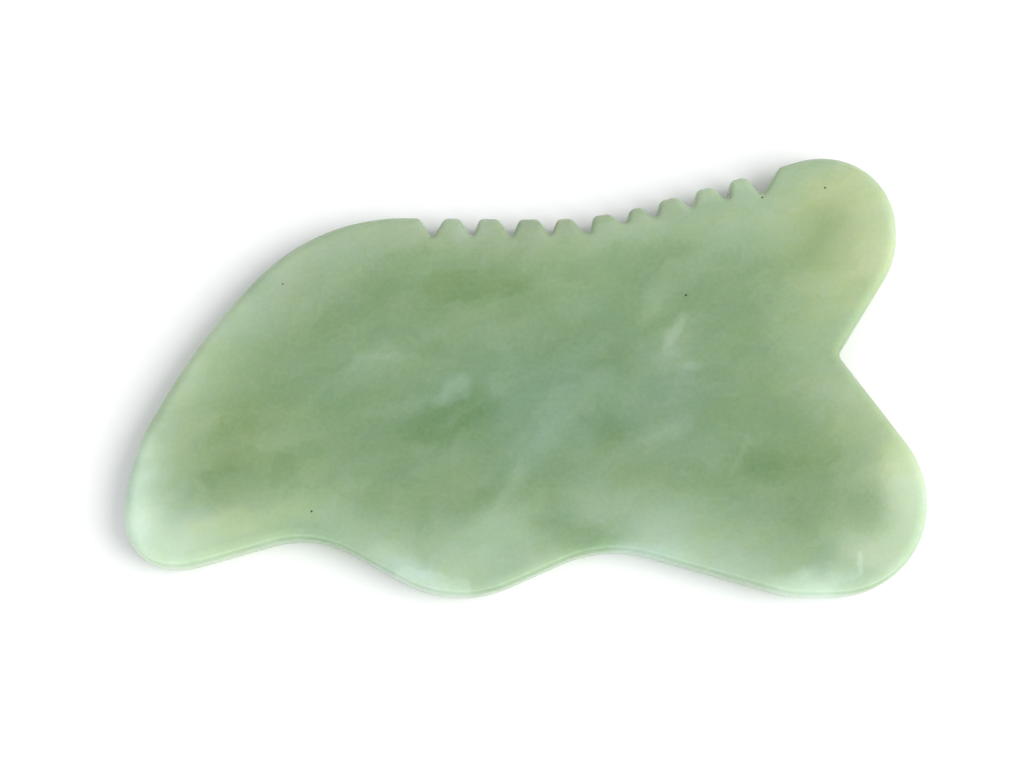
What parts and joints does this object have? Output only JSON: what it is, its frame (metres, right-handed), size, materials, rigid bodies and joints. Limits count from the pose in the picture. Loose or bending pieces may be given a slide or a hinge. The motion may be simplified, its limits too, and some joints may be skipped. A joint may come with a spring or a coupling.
{
  "type": "gua sha scraper board",
  "caption": "Flat fish-shaped massage board of translucent green stone, with concave scraping bays, a forked tail and a comb edge along the back.",
  "frame": {"origin": "centre of the bounding box, at the plane of the back face that the board lies on", "axes": "+X from the nose to the forked tail, +Y from the scraping bays to the comb edge, +Z through the thickness, up from the back face"},
  "size_m": [0.1098, 0.0616, 0.006],
  "materials": {
    "green_stone": "polished"
  },
  "bodies": {
    "root": {"scraper_board": "green_stone"}
  },
  "joints": []
}
